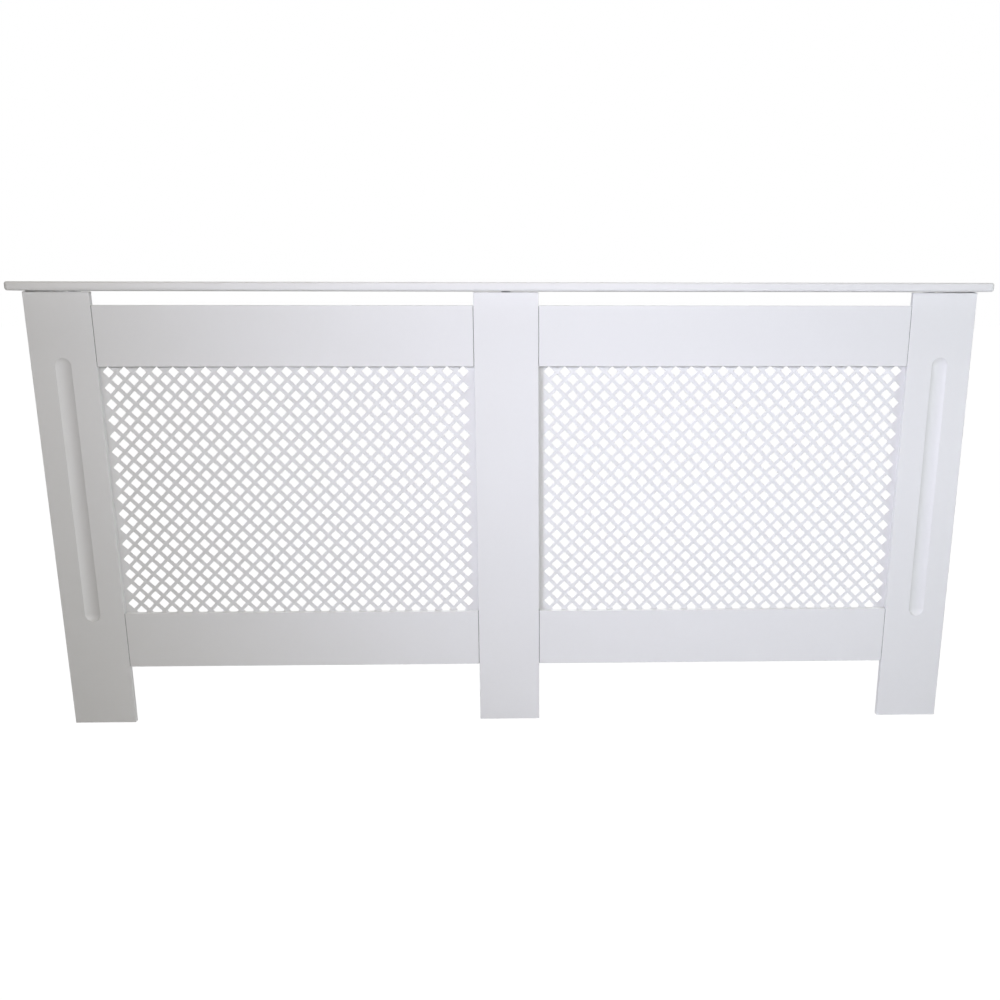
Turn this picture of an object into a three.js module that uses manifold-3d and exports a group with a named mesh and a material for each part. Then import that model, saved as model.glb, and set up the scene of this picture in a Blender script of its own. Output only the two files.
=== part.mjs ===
// Radiator cover cabinet: a long, white painted cover with two lattice bays, open behind and below.
// Millimetres, +Z up. The front faces -Y, the room's wall is the plane y = coverDepth / 2, and the
// origin is on the floor under the middle of the shelf.
import * as THREE from 'three';
import { mergeGeometries, mergeVertices } from 'three/addons/utils/BufferGeometryUtils.js';
import Module from 'manifold-3d';

const wasm = await Module();
wasm.setup();

// Whole cover
const coverWidth = 1720;
const coverDepth = 190;
const coverHeight = 815;

// Shelf
const shelfThickness = 15;
const shelfFrontOverhang = 22;
const shelfEndOverhang = 22;
const shelfRoundover = 3;
const shelfCornerRadius = 6;

// Front frame: three stiles, and two rails in each bay
const frameThickness = 12;
const stileWidth = 115;
const railHeight = 105;
const ventHeight = 24; // open slot between the top rails and the shelf
const footHeight = 113; // open space under the bottom rails
const boardEase = 1; // broken arris round each board
const railJointGap = 0.75; // fine shadow line where a rail butts a stile
const shelfReveal = 1.5; // fine shadow line over the stiles

// Flute routed in the face of each outer stile
const fluteWidth = 28;
const fluteDepth = 3.5;
const fluteFromEdge = 56; // its centre line, from the stile's outer edge
const fluteOverrun = 15; // how far it runs past the lattice opening, above and below

// Lattice sheets: diamonds punched in thin board
const sheetThickness = 3;
const sheetStileLap = 15;
const sheetRailLap = 40;
const latticePitch = 36.4; // between the centre lines of parallel bars
const latticeBar = 10.7;
const latticeBorder = 5; // least solid strip beside the stiles

// End panels, notched behind for the room's skirting board
const endThickness = 12;
const skirtingNotchDepth = 20;
const skirtingNotchHeight = 120;
const skirtingNotchRadius = 8;

// Seats and running holes
const seatGap = 0.25; // paint thickness between boards, and under the brackets
const boreClearance = 0.15;
const blindEnd = 0.5; // free depth past the end of a dowel, bolt or screw
const faceSkin = 3; // board left in front of a hole that is bored from behind

// Beech dowels
const dowelRadius = 3;
const railDowelLength = 30;
const edgeDowelDepth = 17; // how far a face dowel stands in a board's edge

// Cam fittings
const camRadius = 6;
const camRecess = 0.25; // below the face of the end panel
const camToJoint = 24; // from the cam's centre to the edge that it pulls up tight
const camWallSkin = 0.8; // free depth under the bolt's head
const boltShankRadius = 2;
const boltThreadRadius = 2.5;
const boltHeadRadius = 3;
const boltHeadLength = 3;
const boltBoreRadius = 3.5;
const camInset = 130; // from the floor and from the shelf to the cams that hold the stile
const shelfDowelInset = 40; // from the front and back edges of an end panel
const driverSlotWidth = 1.4;
const driverSlotDepth = 1.6;

// Screws and angle brackets
const screwRadius = 1.5;
const screwHeadRadius = 3.5;
const screwHeadHeight = 1.8;
const screwTip = 2;
const sheetScrewFromEdge = 20; // up or down from the rail's edge at the lattice opening
const sheetScrewFromEnd = 60; // in from the rail's end
const bracketLeg = 25;
const bracketWidth = 16;
const bracketThickness = 2;
const bracketBend = 3; // outer radius of the bend
const bracketHoleFromBend = 16;
const bracketHoleRadius = 2.25;
const wallBracketFromShelfEnd = 55; // just inside the end panels, clear of the vents

// Facets round each shape
const dowelSides = 8;
const camSides = 12;
const fluteSides = 40;
const cornerSteps = 4;
const roundoverSteps = 3;

// Planes and centres that follow from the sizes
const wallPlane = coverDepth / 2;
const frontPlane = -coverDepth / 2 + shelfFrontOverhang;
const frameBack = frontPlane + frameThickness;
const shelfUnderside = coverHeight - shelfThickness;
const frameHalfWidth = coverWidth / 2 - shelfEndOverhang;
const wallBracketFromCentre = coverWidth / 2 - wallBracketFromShelfEnd;
const stileHeight = shelfUnderside - shelfReveal;
const outerStileCentre = frameHalfWidth - stileWidth / 2;

const topRailTop = shelfUnderside - ventHeight;
const openingTop = topRailTop - railHeight;
const openingBottom = footHeight + railHeight;
const openingHeight = openingTop - openingBottom;
const openingWidth = frameHalfWidth - stileWidth - stileWidth / 2;
const bayCentre = stileWidth / 2 + openingWidth / 2;
const railLength = openingWidth - 2 * railJointGap;
const railCentres = {
  top: topRailTop - railHeight / 2,
  bottom: footHeight + railHeight / 2,
};

const endFront = frameBack + seatGap;
const endDepth = wallPlane - endFront;
const endHeight = shelfUnderside - seatGap;
const endCentre = frameHalfWidth - endThickness / 2;
const stileCamHeights = {
  lower: camInset,
  upper: shelfUnderside - camInset,
};
const stileDowelHeight = shelfUnderside / 2;
const shelfDowelPlaces = {
  front: endFront + shelfDowelInset,
  back: wallPlane - shelfDowelInset,
};
const shelfBoltPlace = endFront + endDepth / 2;

const faceBoreDepth = Math.min(frameThickness, shelfThickness) - faceSkin;
const railDowelBoreDepth = (railDowelLength - railJointGap) / 2 + blindEnd;
const edgeDowelBoreDepth = edgeDowelDepth + blindEnd;
const pilotRadius = screwRadius + boreClearance;
const camBoreDepth = endThickness / 2 + boltHeadRadius + camWallSkin;

const latticeStep = latticePitch / Math.SQRT2; // from one half column or half row to the next
const diamondReach = (latticePitch - latticeBar) / Math.SQRT2; // from a diamond's centre to its tip

const inward = { left: 1, right: -1 };
const right = new THREE.Vector3(1, 0, 0);
const left = new THREE.Vector3(-1, 0, 0);
const back = new THREE.Vector3(0, 1, 0);
const front = new THREE.Vector3(0, -1, 0);
const up = new THREE.Vector3(0, 0, 1);
const down = new THREE.Vector3(0, 0, -1);

// Materials

function whitePaint() {
  return new THREE.MeshStandardMaterial({ color: 0xf1f1f4, roughness: 0.5, flatShading: true });
}

function whiteSheet() {
  return new THREE.MeshStandardMaterial({ color: 0xf3f3f5, roughness: 0.6, flatShading: true });
}

function zincSteel() {
  return new THREE.MeshStandardMaterial({ color: 0xb9bdc2, roughness: 0.35, metalness: 0.9 });
}

function castZinc() {
  return new THREE.MeshStandardMaterial({ color: 0x9ea2a6, roughness: 0.45, metalness: 0.8 });
}

function beech() {
  return new THREE.MeshStandardMaterial({ color: 0xd2ac7c, roughness: 0.7 });
}

// Cutting

function solidOf(geometry) {
  const bare = geometry.clone();
  bare.deleteAttribute('normal');
  bare.deleteAttribute('uv');
  const merged = mergeVertices(bare, 1e-4);
  return new wasm.Manifold(
    new wasm.Mesh({
      numProp: 3,
      vertProperties: merged.attributes.position.array,
      triVerts: new Uint32Array(merged.index.array),
    }),
  );
}

function cut(geometry, cutters) {
  let solid = solidOf(geometry);
  for (const cutter of cutters) {
    solid = solid.subtract(solidOf(cutter));
  }
  const mesh = solid.getMesh();
  const result = new THREE.BufferGeometry();
  result.setAttribute('position', new THREE.BufferAttribute(mesh.vertProperties, 3));
  result.setIndex(new THREE.BufferAttribute(mesh.triVerts, 1));
  result.computeVertexNormals();
  return result;
}

// Turns a shape that was made along +Y to point along direction.
function aim(geometry, direction) {
  const turn = new THREE.Quaternion().setFromUnitVectors(back, direction);
  return geometry.applyQuaternion(turn);
}

// A round cutter with its mouth at a point of the surface. The flats round it stand at its radius.
function bore(radius, depth, mouth, direction, sides = dowelSides) {
  const breakout = 1;
  const cornerRadius = radius / Math.cos(Math.PI / sides);
  const cutter = new THREE.CylinderGeometry(cornerRadius, cornerRadius, depth + breakout, sides);
  cutter.translate(0, (depth - breakout) / 2, 0);
  aim(cutter, direction);
  return cutter.translate(...mouth);
}

// Boards

function rectangle(width, height) {
  const shape = new THREE.Shape();
  shape.moveTo(-width / 2, 0);
  shape.lineTo(width / 2, 0);
  shape.lineTo(width / 2, height);
  shape.lineTo(-width / 2, height);
  shape.closePath();
  return shape;
}

// A board with its outline in x and y, its thickness up from z = 0, and its arrises broken.
function board(outline, thickness, ease, easeSteps = 1) {
  return new THREE.ExtrudeGeometry(outline, {
    depth: thickness - 2 * ease,
    bevelThickness: ease,
    bevelSize: ease,
    bevelOffset: -ease,
    bevelSegments: easeSteps,
    curveSegments: cornerSteps,
  }).translate(0, 0, ease);
}

// A board that faces the room: its back is the plane y = 0 and its lower edge is z = 0.
function facingBoard(width, height) {
  return board(rectangle(width, height), frameThickness, boardEase).rotateX(Math.PI / 2);
}

// The round-bottomed cove of a flute, with ball ends, for a face at y = -frameThickness.
function fluteCutter(centre) {
  const radius = (fluteWidth * fluteWidth) / (8 * fluteDepth) + fluteDepth / 2;
  const straight = openingHeight + 2 * fluteOverrun - fluteWidth;
  const cutter = new THREE.CapsuleGeometry(radius, straight, fluteSides / 4, fluteSides);
  cutter.rotateY(Math.PI / fluteSides);
  cutter.rotateX(Math.PI / 2);
  const standOff = radius - fluteDepth;
  return cutter.translate(centre, -frameThickness - standOff, openingBottom + openingHeight / 2);
}

function railDowelBores(edge, direction) {
  return Object.values(railCentres).map((height) =>
    bore(
      dowelRadius + boreClearance,
      railDowelBoreDepth,
      [edge, -frameThickness / 2, height],
      direction,
    ),
  );
}

function centreStile() {
  const screwHeight = shelfUnderside - seatGap - bracketHoleFromBend;
  return cut(facingBoard(stileWidth, stileHeight), [
    ...railDowelBores(-stileWidth / 2, right),
    ...railDowelBores(stileWidth / 2, left),
    bore(pilotRadius, faceBoreDepth, [0, 0, screwHeight], front),
  ]);
}

function outerStile(side) {
  const inner = (inward[side] * stileWidth) / 2;
  const overEndPanel = -inward[side] * (stileWidth / 2 - endThickness / 2);
  const flute = -inward[side] * (stileWidth / 2 - fluteFromEdge);
  const boltBores = Object.values(stileCamHeights).map((height) =>
    bore(boltThreadRadius + boreClearance, faceBoreDepth, [overEndPanel, 0, height], front),
  );
  return cut(facingBoard(stileWidth, stileHeight), [
    fluteCutter(flute),
    ...railDowelBores(inner, side === 'left' ? left : right),
    ...boltBores,
    bore(dowelRadius + boreClearance, faceBoreDepth, [overEndPanel, 0, stileDowelHeight], front),
  ]);
}

// The screws that hold the lattice sheet stand near the edge that borders the opening.
function rail(row) {
  const screwHeight = row === 'top' ? sheetScrewFromEdge : railHeight - sheetScrewFromEdge;
  const cutters = [];
  for (const end of [-1, 1]) {
    const endMouth = [(end * railLength) / 2, -frameThickness / 2, railHeight / 2];
    const screwMouth = [end * (railLength / 2 - sheetScrewFromEnd), 0, screwHeight];
    const intoRail = end < 0 ? right : left;
    cutters.push(bore(dowelRadius + boreClearance, railDowelBoreDepth, endMouth, intoRail));
    cutters.push(bore(pilotRadius, frameThickness - faceSkin, screwMouth, front));
  }
  return cut(facingBoard(railLength, railHeight), cutters);
}

function shelf() {
  const halfWidth = coverWidth / 2;
  const corner = shelfCornerRadius;
  const trimmed = wallPlane + corner + shelfRoundover; // the wall edge is sawn square
  const outline = new THREE.Shape();
  outline.moveTo(-halfWidth + corner, -wallPlane);
  outline.absarc(halfWidth - corner, -wallPlane + corner, corner, -Math.PI / 2, 0);
  outline.lineTo(halfWidth, trimmed);
  outline.lineTo(-halfWidth, trimmed);
  outline.absarc(-halfWidth + corner, -wallPlane + corner, corner, Math.PI, 1.5 * Math.PI);

  const waste = new THREE.BoxGeometry(2 * coverWidth, coverDepth, 4 * shelfThickness);
  waste.translate(0, wallPlane + coverDepth / 2, 0);
  const cutters = [waste];
  for (const x of [-endCentre, endCentre]) {
    const thread = boltThreadRadius + boreClearance;
    cutters.push(bore(thread, faceBoreDepth, [x, shelfBoltPlace, 0], up));
    for (const y of Object.values(shelfDowelPlaces)) {
      cutters.push(bore(dowelRadius + boreClearance, faceBoreDepth, [x, y, 0], up));
    }
  }
  const centreScrewPlace = frameBack + seatGap + bracketHoleFromBend;
  cutters.push(bore(pilotRadius, faceBoreDepth, [0, centreScrewPlace, 0], up));
  for (const x of [-wallBracketFromCentre, wallBracketFromCentre]) {
    cutters.push(bore(pilotRadius, faceBoreDepth, [x, wallPlane - bracketHoleFromBend, 0], up));
  }
  return cut(board(outline, shelfThickness, shelfRoundover, roundoverSteps), cutters);
}

// An end panel, with x = 0 in the middle of its thickness, y = 0 at its front edge.
function endPanel(side) {
  const notchFront = endDepth - skirtingNotchDepth;
  const radius = skirtingNotchRadius;
  const outline = new THREE.Shape();
  outline.moveTo(0, 0);
  outline.lineTo(notchFront, 0);
  outline.lineTo(notchFront, skirtingNotchHeight - radius);
  outline.absarc(
    notchFront + radius,
    skirtingNotchHeight - radius,
    radius,
    Math.PI,
    Math.PI / 2,
    true,
  );
  outline.lineTo(endDepth, skirtingNotchHeight);
  outline.lineTo(endDepth, endHeight);
  outline.lineTo(0, endHeight);
  outline.closePath();
  const panel = board(outline, endThickness, boardEase);
  panel.rotateX(Math.PI / 2).rotateZ(Math.PI / 2).translate(-endThickness / 2, 0, 0);

  const innerFace = (inward[side] * endThickness) / 2;
  const intoPanel = side === 'left' ? left : right;
  const boltPlace = shelfBoltPlace - endFront;
  const boltReach = camToJoint - seatGap;
  const cutters = [
    bore(camRadius + boreClearance, camBoreDepth, [innerFace, boltPlace, endHeight - boltReach], intoPanel, camSides),
    bore(boltBoreRadius, boltReach, [0, boltPlace, endHeight], down),
    bore(dowelRadius + boreClearance, edgeDowelBoreDepth, [0, 0, stileDowelHeight], back),
  ];
  for (const height of Object.values(stileCamHeights)) {
    cutters.push(bore(camRadius + boreClearance, camBoreDepth, [innerFace, boltReach, height], intoPanel, camSides));
    cutters.push(bore(boltBoreRadius, boltReach, [0, 0, height], back));
  }
  for (const y of Object.values(shelfDowelPlaces)) {
    cutters.push(bore(dowelRadius + boreClearance, edgeDowelBoreDepth, [0, y - endFront, endHeight], down));
  }
  return cut(panel, cutters);
}

// Lattice

// A square prism on its corner, through the sheet.
function diamondCutter(x, z) {
  const cutter = new THREE.CylinderGeometry(diamondReach, diamondReach, 3 * sheetThickness, 4);
  return cutter.translate(x, 0, z);
}

// Rows alternate, each half a diamond across from the last. The top row's tips just meet the top
// rail, and the bottom rail hides the lower half of the last row.
function latticeSheet() {
  const width = openingWidth + 2 * sheetStileLap;
  const height = openingHeight + 2 * sheetRailLap;
  const sheet = new THREE.BoxGeometry(width, sheetThickness, height);
  sheet.translate(0, -sheetThickness / 2, height / 2);

  const halfField = openingWidth / 2 - latticeBorder - diamondReach;
  const columnsBeside = Math.floor(halfField / latticeStep);
  const rows = Math.round((openingHeight - diamondReach) / latticeStep) + 1;
  const topRow = sheetRailLap + openingHeight - diamondReach;
  const holes = [];
  for (let row = 0; row < rows; row += 1) {
    for (let column = -columnsBeside; column <= columnsBeside; column += 1) {
      if ((row + column + columnsBeside) % 2 === 0) {
        holes.push(diamondCutter(column * latticeStep, topRow - row * latticeStep));
      }
    }
  }
  const screwX = railLength / 2 - sheetScrewFromEnd;
  const lowScrewZ = sheetRailLap - sheetScrewFromEdge;
  const highScrewZ = sheetRailLap + openingHeight + sheetScrewFromEdge;
  for (const z of [lowScrewZ, highScrewZ]) {
    holes.push(bore(pilotRadius, 2 * sheetThickness, [-screwX, 0, z], front));
    holes.push(bore(pilotRadius, 2 * sheetThickness, [screwX, 0, z], front));
  }
  return cut(sheet, [mergeGeometries(holes)]);
}

// Fittings, each made along +Y

function dowel(length) {
  return new THREE.CylinderGeometry(dowelRadius, dowelRadius, length, dowelSides);
}

function lathe(profile) {
  const points = profile.map(([x, y]) => new THREE.Vector2(x, y));
  return new THREE.LatheGeometry(points, dowelSides);
}

// The underside of the head is at y = 0 and the point is below it.
function screw(grip, depth) {
  const tip = -(grip + depth - blindEnd);
  return lathe([
    [0, tip],
    [screwRadius, tip + screwTip],
    [screwRadius, 0],
    [screwHeadRadius, 0],
    [screwHeadRadius * 0.75, screwHeadHeight],
    [0, screwHeadHeight],
  ]);
}

// The joint is at y = 0: the thread stands in the board below it and the head in the cam above it.
function camBolt() {
  const headStart = camToJoint - boltHeadLength / 2;
  return lathe([
    [0, -(faceBoreDepth - blindEnd)],
    [boltThreadRadius, -(faceBoreDepth - blindEnd)],
    [boltThreadRadius, 0],
    [boltShankRadius, 0],
    [boltShankRadius, headStart],
    [boltHeadRadius, headStart],
    [boltHeadRadius, headStart + boltHeadLength],
    [0, headStart + boltHeadLength],
  ]);
}

// A cam with its driver slot up, and a pocket and a neck slot for a bolt that comes in from -X.
function cam() {
  const length = camBoreDepth - camRecess - boreClearance;
  const boltAxis = -(endThickness / 2 - camRecess);
  const pocketReach = length + boltAxis + 1; // past the lower face
  const body = new THREE.CylinderGeometry(camRadius, camRadius, length, camSides);
  body.translate(0, -length / 2, 0);

  const headRoom = boltHeadRadius + 2 * boreClearance;
  const headSpan = boltHeadLength + 4 * boreClearance;
  const pocket = new THREE.BoxGeometry(headSpan, headRoom + pocketReach, 2 * headRoom);
  pocket.translate(0, boltAxis + (headRoom - pocketReach) / 2, 0);
  const neckRoom = boltShankRadius + 2 * boreClearance;
  const neck = new THREE.BoxGeometry(2 * camRadius, neckRoom + pocketReach, 2 * neckRoom);
  neck.translate(-camRadius, boltAxis + (neckRoom - pocketReach) / 2, 0);

  const slotLength = 1.2 * camRadius;
  const slot = new THREE.BoxGeometry(slotLength, 2 * driverSlotDepth, driverSlotWidth);
  const crossSlot = new THREE.BoxGeometry(driverSlotWidth, 2 * driverSlotDepth, slotLength);
  return cut(body, [pocket, neck, slot, crossSlot]);
}

// An angle bracket with its bend at the origin: one leg runs forward under the shelf, the other down.
function angleBracket() {
  const leg = bracketLeg;
  const thickness = bracketThickness;
  const outline = new THREE.Shape();
  outline.moveTo(-leg, 0);
  outline.lineTo(-leg, -thickness);
  outline.lineTo(-thickness, -thickness);
  outline.lineTo(-thickness, -leg);
  outline.lineTo(0, -leg);
  outline.absarc(-bracketBend, -bracketBend, bracketBend, 0, Math.PI / 2);
  outline.closePath();
  const strip = new THREE.ExtrudeGeometry(outline, {
    depth: bracketWidth,
    bevelEnabled: false,
    curveSegments: cornerSteps,
  });
  strip.rotateX(Math.PI / 2).rotateZ(Math.PI / 2).translate(-bracketWidth / 2, 0, 0);
  return cut(strip, [
    bore(bracketHoleRadius, 2 * thickness, [0, -bracketHoleFromBend, 0], down),
    bore(bracketHoleRadius, 2 * thickness, [0, 0, -bracketHoleFromBend], front),
  ]);
}

// Assembly

function piece(name, geometry, material, position, direction = back) {
  const mesh = new THREE.Mesh(geometry, material);
  mesh.name = name;
  mesh.position.set(...position);
  mesh.quaternion.setFromUnitVectors(back, direction);
  return mesh;
}

// One bay, with its middle at x = 0: two rails on dowels, and the lattice sheet screwed behind them.
function bay(side) {
  const group = new THREE.Group();
  const sheetBottom = openingBottom - sheetRailLap;
  const sheetBack = frameBack + seatGap + sheetThickness;
  const sheetName = `lattice_${side}`;
  group.add(piece(sheetName, latticeSheet(), whiteSheet(), [0, sheetBack, sheetBottom]));

  const dowelPlace = openingWidth / 2 - railJointGap / 2;
  const screwPlace = railLength / 2 - sheetScrewFromEnd;
  const screwHeights = {
    top: openingTop + sheetScrewFromEdge,
    bottom: openingBottom - sheetScrewFromEdge,
  };
  const outerSign = -inward[side];
  for (const [row, height] of Object.entries(railCentres)) {
    const railPlace = [0, frameBack, height - railHeight / 2];
    group.add(piece(`${row}_rail_${side}`, rail(row), whitePaint(), railPlace));
    for (const [end, sign] of [['outer', outerSign], ['inner', -outerSign]]) {
      const dowelCentre = [sign * dowelPlace, frameBack - frameThickness / 2, height];
      const dowelName = `rail_dowel_${side}_${row}_${end}`;
      group.add(piece(dowelName, dowel(railDowelLength), beech(), dowelCentre, right));
      const screwHead = [sign * screwPlace, sheetBack, screwHeights[row]];
      const sheetScrew = screw(seatGap + sheetThickness, frameThickness - faceSkin);
      group.add(piece(`lattice_screw_${side}_${row}_${end}`, sheetScrew, zincSteel(), screwHead));
    }
  }
  group.position.x = outerSign * bayCentre;
  return group;
}

// One end: the end panel, with cams and a dowel to the stile and to the shelf.
function end(side) {
  const group = new THREE.Group();
  group.position.x = -inward[side] * endCentre;
  group.add(piece(`end_panel_${side}`, endPanel(side), whitePaint(), [0, endFront, 0]));

  const camFace = inward[side] * (endThickness / 2 - camRecess);
  for (const [level, height] of Object.entries(stileCamHeights)) {
    const stileCam = piece(`cam_${side}_${level}`, cam(), castZinc(), [camFace, frameBack + camToJoint, height]);
    turnCam(stileCam, side, front);
    group.add(stileCam);
    const boltName = `cam_bolt_${side}_${level}`;
    group.add(piece(boltName, camBolt(), zincSteel(), [0, frameBack, height], back));
  }
  const stileDowelLength = faceBoreDepth - blindEnd + seatGap + edgeDowelDepth;
  const stileDowelCentre = endFront + edgeDowelDepth - stileDowelLength / 2;
  const stileDowelPlace = [0, stileDowelCentre, stileDowelHeight];
  group.add(piece(`stile_dowel_${side}`, dowel(stileDowelLength), beech(), stileDowelPlace));

  const shelfCamPlace = [camFace, shelfBoltPlace, shelfUnderside - camToJoint];
  const shelfCam = piece(`shelf_cam_${side}`, cam(), castZinc(), shelfCamPlace);
  turnCam(shelfCam, side, up);
  group.add(shelfCam);
  const shelfBoltFoot = [0, shelfBoltPlace, shelfUnderside];
  group.add(piece(`shelf_cam_bolt_${side}`, camBolt(), zincSteel(), shelfBoltFoot, down));
  for (const [place, y] of Object.entries(shelfDowelPlaces)) {
    const centre = [0, y, endHeight - edgeDowelDepth + stileDowelLength / 2];
    group.add(piece(`shelf_dowel_${side}_${place}`, dowel(stileDowelLength), beech(), centre, up));
  }
  return group;
}

// Turns a cam so that its driver slot faces into the cover and its bolt comes in from one way.
function turnCam(mesh, side, boltSide) {
  const slotWay = side === 'left' ? right : left;
  const pocketWay = boltSide.clone().negate();
  const third = new THREE.Vector3().crossVectors(pocketWay, slotWay);
  mesh.quaternion.setFromRotationMatrix(new THREE.Matrix4().makeBasis(pocketWay, slotWay, third));
}

// A bracket under the shelf with one screw up into the shelf, and for the centre stile a second one.
function centreBracket() {
  const group = new THREE.Group();
  const legTop = shelfUnderside - seatGap;
  const bendPlace = frameBack + seatGap;
  const bracket = piece('centre_bracket', angleBracket(), zincSteel(), [0, bendPlace, legTop]);
  bracket.quaternion.identity();
  bracket.rotation.z = Math.PI;
  const bracketScrew = screw(bracketThickness + seatGap, faceBoreDepth);
  const shelfHead = [0, bendPlace + bracketHoleFromBend, legTop - bracketThickness];
  const stileHead = [0, bendPlace + bracketThickness, legTop - bracketHoleFromBend];
  group.add(bracket);
  group.add(piece('centre_bracket_screw_shelf', bracketScrew, zincSteel(), shelfHead, down));
  group.add(piece('centre_bracket_screw_stile', bracketScrew.clone(), zincSteel(), stileHead));
  return group;
}

function wallBracket(side) {
  const group = new THREE.Group();
  const legTop = shelfUnderside - seatGap;
  const screwHead = [0, wallPlane - bracketHoleFromBend, legTop - bracketThickness];
  const bracketScrew = screw(bracketThickness + seatGap, faceBoreDepth);
  group.add(piece(`wall_bracket_${side}`, angleBracket(), zincSteel(), [0, wallPlane, legTop]));
  group.add(piece(`wall_bracket_screw_${side}`, bracketScrew, zincSteel(), screwHead, down));
  group.position.x = -inward[side] * wallBracketFromCentre;
  return group;
}

function cover() {
  const group = new THREE.Group();
  group.add(piece('shelf', shelf(), whitePaint(), [0, 0, shelfUnderside]));
  group.add(piece('stile_centre', centreStile(), whitePaint(), [0, frameBack, 0]));
  group.add(centreBracket());
  for (const side of ['left', 'right']) {
    const stilePlace = [-inward[side] * outerStileCentre, frameBack, 0];
    group.add(piece(`stile_${side}`, outerStile(side), whitePaint(), stilePlace));
    group.add(bay(side));
    group.add(end(side));
    group.add(wallBracket(side));
  }
  return group;
}

export default cover();
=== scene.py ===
import math
import bmesh
import bpy
from mathutils import Matrix, Vector


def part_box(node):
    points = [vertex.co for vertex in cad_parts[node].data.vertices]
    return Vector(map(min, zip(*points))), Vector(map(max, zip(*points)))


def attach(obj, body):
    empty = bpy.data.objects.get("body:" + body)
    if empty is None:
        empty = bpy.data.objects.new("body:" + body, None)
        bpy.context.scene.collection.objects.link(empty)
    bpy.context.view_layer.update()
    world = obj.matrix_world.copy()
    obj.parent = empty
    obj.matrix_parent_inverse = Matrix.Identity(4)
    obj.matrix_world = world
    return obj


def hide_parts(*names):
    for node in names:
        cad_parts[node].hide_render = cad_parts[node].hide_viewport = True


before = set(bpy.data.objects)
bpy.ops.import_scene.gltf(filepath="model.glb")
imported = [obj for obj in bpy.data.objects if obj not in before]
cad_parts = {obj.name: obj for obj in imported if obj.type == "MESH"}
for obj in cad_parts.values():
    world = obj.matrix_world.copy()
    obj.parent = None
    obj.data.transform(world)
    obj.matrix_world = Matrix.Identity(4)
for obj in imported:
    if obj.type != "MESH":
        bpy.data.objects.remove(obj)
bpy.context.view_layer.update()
scene = bpy.context.scene
scene.view_settings.view_transform = "Standard"
print("frame loaded:", len(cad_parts), "nodes")

cameraStand = {
    "place": (0.0166, -2.1405, 0.7900),
    "yaw": 1.798,  # degrees, to the right
    "pitch": -16.506,
    "roll": 0.076,
    "lens": 40.60,  # mm, on a 36 mm sensor
    "shift": (-0.0517, 0.1314),
    "clipEnd": 200,
}


def placeCamera(stand):
    bpy.ops.object.camera_add(location=stand["place"])
    camera = bpy.context.object
    camera.name = "roomCamera"
    turn = Matrix.Rotation(math.radians(-stand["yaw"]), 4, "Z")
    turn = turn @ Matrix.Rotation(math.radians(90 + stand["pitch"]), 4, "X")
    turn = turn @ Matrix.Rotation(math.radians(stand["roll"]), 4, "Z")
    camera.rotation_euler = turn.to_euler()
    camera.data.lens = stand["lens"]
    camera.data.shift_x, camera.data.shift_y = stand["shift"]
    camera.data.clip_end = stand["clipEnd"]
    scene.camera = camera


placeCamera(cameraStand)

studio = {
    "surround": (1.0, 1.0, 1.0),  # what the camera sees round the cover
    "surroundStrength": 1.0,
    "ambient": (1.0, 0.955, 0.88),  # what lights the cover from all round
    "ambientStrength": 0.187,
    "floorSide": 60,
    "floorTone": 0.8,
    "floorRoughness": 0.9,
    "floorGlow": 1.07,
    "floorGlowShare": 0.94,
}

studioLights = {
    "keyStrip": {
        "place": (0.1, -1.2, 0.95),
        "target": (0.1, 0, 0.6),
        "size": (1.2, 0.12),
        "spread": 180,  # degrees
        "power": 4.8,
        "tint": (0.97, 0.955, 1.0),
    },
    "rightStrip": {
        "place": (2.0, -1.0, 0.97),
        "target": (0.3, 0, 0.5),
        "size": (0.8, 0.15),
        "spread": 180,
        "power": 9.8,
        "tint": (0.90, 0.96, 1.0),
    },
    "leftStrip": {
        "place": (-0.9, -1.2, 0.97),
        "target": (-0.4, 0, 0.6),
        "size": (0.8, 0.15),
        "spread": 180,
        "power": 2.4,
        "tint": (1.0, 0.97, 0.94),
    },
    "farLeftStrip": {
        "place": (-1.6, -2.2, 0.97),
        "target": (0.7, 0, 0.5),
        "size": (0.6, 0.15),
        "spread": 45,
        "power": 2.9,
        "tint": (0.78, 0.80, 1.0),
    },
    "topStrip": {
        "place": (0, -0.35, 2.6),
        "target": (0, 0, 0),
        "size": (1.6, 0.3),
        "spread": 180,
        "power": 9.0,
        "tint": (1.0, 0.96, 0.86),
    },
    "backPanel": {
        "place": (0.2, 2.4, 1.5),
        "target": (0, 0, 0.4),
        "size": (1.5, 1.5),
        "spread": 180,
        "power": 26,
        "tint": (0.96, 0.96, 1.0),
    },
}


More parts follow.
